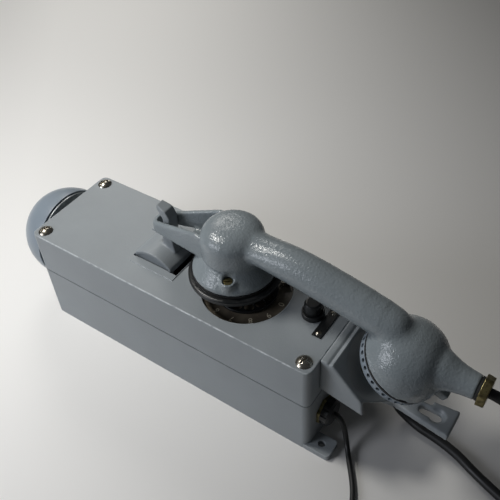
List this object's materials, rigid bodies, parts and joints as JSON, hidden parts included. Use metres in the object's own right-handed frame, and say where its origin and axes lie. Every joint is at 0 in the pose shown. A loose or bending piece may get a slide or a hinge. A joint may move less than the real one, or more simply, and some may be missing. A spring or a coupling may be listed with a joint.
{
  "type": "industrial wall telephone",
  "caption": "Cast wall telephone with a rotary dial, hook, push button, end gong and a cast handset that hangs on the hook and seats in a dished cradle, with a coiled cord.",
  "frame": {"origin": "middle of the housing's flat back", "axes": "+X from the gong to the cradle, +Y across the housing, +Z out of the cover; on a wall +X points down"},
  "size_m": [0.6099, 0.204, 0.1796],
  "materials": {
    "grey_paint": "satin blue-grey enamel over a casting",
    "black_rubber": "matt black moulded rubber",
    "nickel": "worn nickel plate",
    "zinc_steel": "dull zinc plate",
    "brass": "aged brass",
    "bronze_ring": "brown bronze with pale figures",
    "black_plastic": "black phenolic moulding",
    "phenolic": "brown phenolic sheet",
    "winding": "varnished copper winding",
    "capsule_metal": "pressed aluminium",
    "cord_rubber": "black rubber sheath"
  },
  "bodies": {
    "housing": {"rear_housing": "grey_paint", "front_cover": "grey_paint", "gong": "grey_paint", "cradle_bracket": "grey_paint", "cover_gasket": "black_rubber", "cover_screws": "nickel", "label_screws": "nickel", "finger_stop": "nickel", "gong_plate": "zinc_steel", "gong_standoffs": "zinc_steel", "gong_post": "zinc_steel", "clapper_pin": "zinc_steel", "ringer_frame": "zinc_steel", "hook_pin": "zinc_steel", "cradle_screws": "zinc_steel", "chassis_plate": "zinc_steel", "line_gland": "brass", "spare_plug": "brass", "cord_gland": "brass", "earth_stud": "brass", "number_ring": "bronze_ring", "dial_case": "black_plastic", "button_collar": "black_plastic", "label_plate": "black_plastic", "line_gland_cap": "black_plastic", "line_plug": "black_plastic", "hook_contacts": "phenolic", "button_contacts": "phenolic", "terminal_block": "phenolic", "ringer_coils": "winding", "induction_coil": "winding", "capacitor": "capsule_metal", "handset_cord_lead": "cord_rubber", "handset_cord_coil": "cord_rubber", "handset_cord_return": "cord_rubber", "handset_cord_tie": "cord_rubber", "line_cord_lead": "cord_rubber", "line_cord_coil": "cord_rubber", "line_cord_tail": "cord_rubber", "line_cord_tie": "cord_rubber"},
    "handset": {"handset_body": "grey_paint", "ear_gasket": "black_rubber", "ear_cap": "black_plastic", "ear_screws": "brass", "receiver_capsule": "capsule_metal", "mouth_gasket": "black_rubber", "mouth_cap": "grey_paint", "mouth_screws": "brass", "transmitter_capsule": "capsule_metal", "neck_seal": "black_rubber", "neck_nut": "brass"},
    "dial": {"finger_wheel": "black_plastic", "dial_shaft": "zinc_steel", "dial_gear": "brass", "dial_cap": "black_plastic"},
    "hook": {"hook_rocker": "grey_paint"},
    "button": {"push_button": "black_plastic"},
    "clapper": {"bell_clapper": "brass"}
  },
  "joints": [
    {"name": "handset_lift", "type": "slide", "parent": "housing", "child": "handset", "axis": [0, 0, 1], "range_m": [0, 0.12], "deforming": ["handset_cord_lead"]},
    {"name": "dial_turn", "type": "hinge", "parent": "housing", "child": "dial", "pos_m": [0.06, 0, 0.1], "axis": [0, 0, 1], "range_deg": [-320, 0], "stiffness_Nm_per_rad": 0.004, "springref_deg": 34.38},
    {"name": "hook_swing", "type": "hinge", "parent": "housing", "child": "hook", "pos_m": [-0.027, 0, 0.09], "axis": [0, 1, 0], "range_deg": [0, 12], "stiffness_Nm_per_rad": 0.5, "springref_deg": -8.59},
    {"name": "button_press", "type": "slide", "parent": "housing", "child": "button", "axis": [0, 0, -1], "range_m": [0, 0.0035], "stiffness_N_per_m": 400, "springref_m": -0.002},
    {"name": "clapper_swing", "type": "hinge", "parent": "housing", "child": "clapper", "pos_m": [-0.136, 0, 0.0293], "axis": [0, 1, 0], "range_deg": [-2, 2], "stiffness_Nm_per_rad": 0.2}
  ]
}
